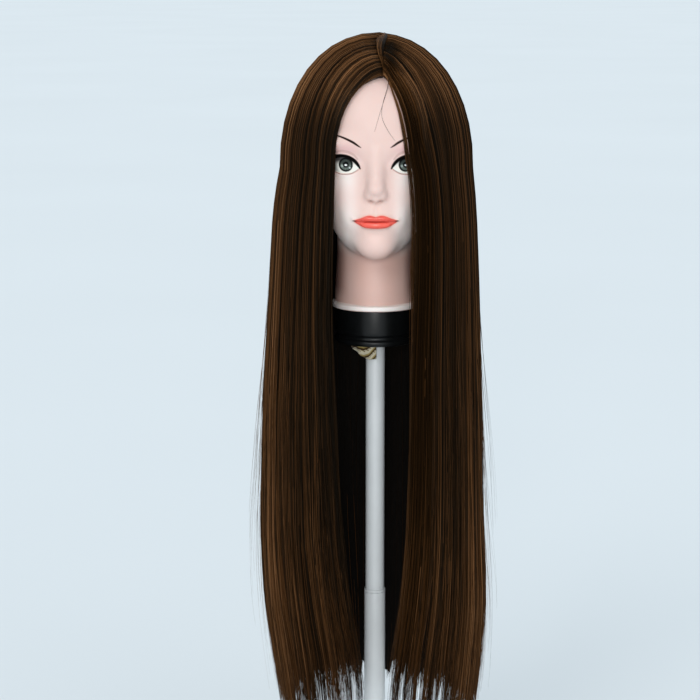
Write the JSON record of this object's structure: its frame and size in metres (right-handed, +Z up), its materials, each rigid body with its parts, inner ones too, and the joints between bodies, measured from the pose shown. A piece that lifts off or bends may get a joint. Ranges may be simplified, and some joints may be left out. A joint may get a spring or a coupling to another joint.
{
  "type": "mannequin training head",
  "caption": "Vinyl head with painted face and long straight centre-parted wig on a base cup, packed onto a two-piece twist-lock pole with a weighted round base.",
  "frame": {"origin": "on the floor under the pole's axis, the bottom centre of the object's box", "axes": "+Z up along the pole, the face looks along -Y, +X to the viewer's right when facing it"},
  "size_m": [0.256, 0.256, 0.83],
  "materials": {
    "pole_paint": "satin",
    "weight_iron": "matte",
    "fastener_steel": "satin",
    "grey_plastic": "matte",
    "foot_rubber": "matte",
    "lock_brass": "satin",
    "cup_plastic": "satin",
    "striped_cloth": "matte",
    "head_vinyl": "satin",
    "cap_lace": "matte",
    "hair": "satin"
  },
  "bodies": {
    "stand": {"base_cover": "pole_paint", "base_weight": "weight_iron", "base_washer": "fastener_steel", "base_bolt": "fastener_steel", "base_collar": "grey_plastic", "foot_1": "foot_rubber", "foot_2": "foot_rubber", "foot_3": "foot_rubber", "foot_4": "foot_rubber", "lower_tube": "pole_paint", "pole_insert": "fastener_steel", "pole_end_ring": "grey_plastic"},
    "lock_slider": {"lock_sleeve": "grey_plastic", "lock_cone": "lock_brass"},
    "upper_pole": {"upper_tube": "pole_paint", "lock_stud": "lock_brass", "pole_top_plug": "grey_plastic"},
    "head": {"base_cup": "cup_plastic", "neck_socket": "grey_plastic", "cup_screw_1": "fastener_steel", "cup_screw_2": "fastener_steel", "cup_screw_3": "fastener_steel", "cup_screw_4": "fastener_steel", "packing_cloth": "striped_cloth", "head_shell": "head_vinyl", "wig_cap": "cap_lace", "weft_1": "cap_lace", "weft_2": "cap_lace", "weft_3": "cap_lace", "weft_4": "cap_lace", "weft_5": "cap_lace", "hair_left": "hair", "hair_right": "hair", "hair_back": "hair"}
  },
  "joints": [
    {"name": "height_slide", "type": "slide", "parent": "stand", "child": "lock_slider", "axis": [0, 0, 1], "range_m": [-0.02, 0.08]},
    {"name": "twist_lock", "type": "hinge", "parent": "lock_slider", "child": "upper_pole", "pos_m": [0, 0, 0.1], "axis": [0, 0, 1], "range_deg": [0, 270]},
    {"name": "head_turn", "type": "hinge", "parent": "upper_pole", "child": "head", "pos_m": [0, 0, 0.54], "axis": [0, 0, 1], "continuous": true}
  ]
}
